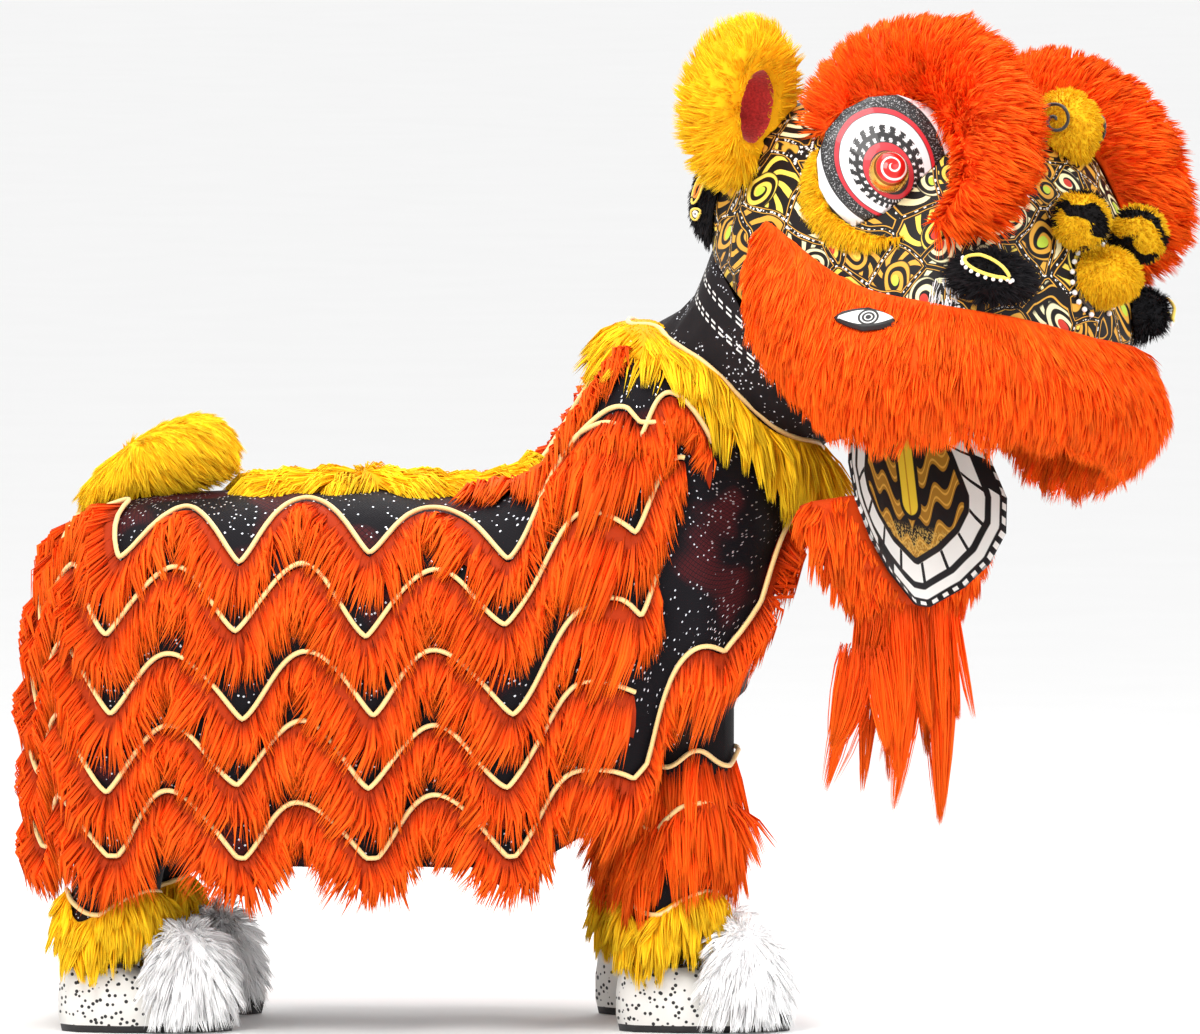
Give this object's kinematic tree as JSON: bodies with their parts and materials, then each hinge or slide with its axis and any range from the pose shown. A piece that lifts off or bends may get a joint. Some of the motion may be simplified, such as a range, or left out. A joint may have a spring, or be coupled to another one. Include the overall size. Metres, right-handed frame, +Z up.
{
  "type": "lion dance costume",
  "caption": "Two-dancer lion costume as worn: furred head with hinged jaw, scalloped fringe on a black body cloth, trousers and furred shoes.",
  "frame": {"origin": "middle of the neck opening, where the front dancer carries the costume", "axes": "+X the way the lion walks, +Y its left side, +Z up"},
  "size_m": [1.9715, 0.936, 1.7199],
  "materials": {
    "orange_fur": "long pile fur",
    "yellow_fur": "long pile fur",
    "black_fur": "short pile fur",
    "white_fur": "long pile fur",
    "red_plush": "plush",
    "striped_plush": "plush with black stripes",
    "eye_print": "printed",
    "gold_paint": "gold painted",
    "shoe_cloth": "dotted canvas",
    "black_cloth": "sequinned mesh cloth",
    "jaw_print": "printed cloth on a stiff tray",
    "hinge_rod": "plain",
    "printed_cloth": "black cloth printed in yellow"
  },
  "bodies": {
    "costume": {"body_cloth": "black_cloth", "brow_left": "orange_fur", "brow_right": "orange_fur", "cheek_fin_left": "black_fur", "cheek_fin_right": "black_fur", "cuff_front_left": "yellow_fur", "cuff_front_right": "yellow_fur", "cuff_rear_left": "yellow_fur", "cuff_rear_right": "yellow_fur", "ear_left": "yellow_fur", "ear_lining_left": "red_plush", "ear_lining_right": "red_plush", "ear_right": "yellow_fur", "eye_disc_left": "eye_print", "eye_disc_right": "eye_print", "eye_rim_left": "yellow_fur", "eye_rim_right": "yellow_fur", "eyeball_left": "gold_paint", "eyeball_right": "gold_paint", "forehead_knob": "yellow_fur", "head_shell": "printed_cloth", "jaw_rod": "hinge_rod", "leg_fringe_front_left": "orange_fur", "leg_fringe_front_right": "orange_fur", "lip_eye_left": "eye_print", "lip_eye_right": "eye_print", "lip_fur": "orange_fur", "neck_collar": "black_cloth", "neck_fringe": "yellow_fur", "nose": "yellow_fur", "nostril_left": "black_fur", "nostril_right": "black_fur", "plume_front_left": "white_fur", "plume_front_right": "white_fur", "plume_rear_left": "white_fur", "plume_rear_right": "white_fur", "pompom_left": "striped_plush", "pompom_right": "striped_plush", "shoe_front_left": "shoe_cloth", "shoe_front_right": "shoe_cloth", "shoe_rear_left": "shoe_cloth", "shoe_rear_right": "shoe_cloth", "spine_fur": "yellow_fur", "tail": "yellow_fur", "tier_1": "orange_fur", "tier_2": "orange_fur", "tier_3": "orange_fur", "tier_4": "orange_fur", "tier_5": "orange_fur", "trousers_front": "black_cloth", "trousers_rear": "black_cloth"},
    "jaw": {"jaw_sleeve": "red_plush", "jaw_tray": "jaw_print", "jaw_fur": "orange_fur", "beard": "orange_fur"}
  },
  "joints": [
    {"name": "jaw_hinge", "type": "hinge", "parent": "costume", "child": "jaw", "pos_m": [0.29248, -0.12624, 0.07145], "axis": [-0.6043, -0.7735, 0.1908], "range_deg": [0, 32]}
  ]
}
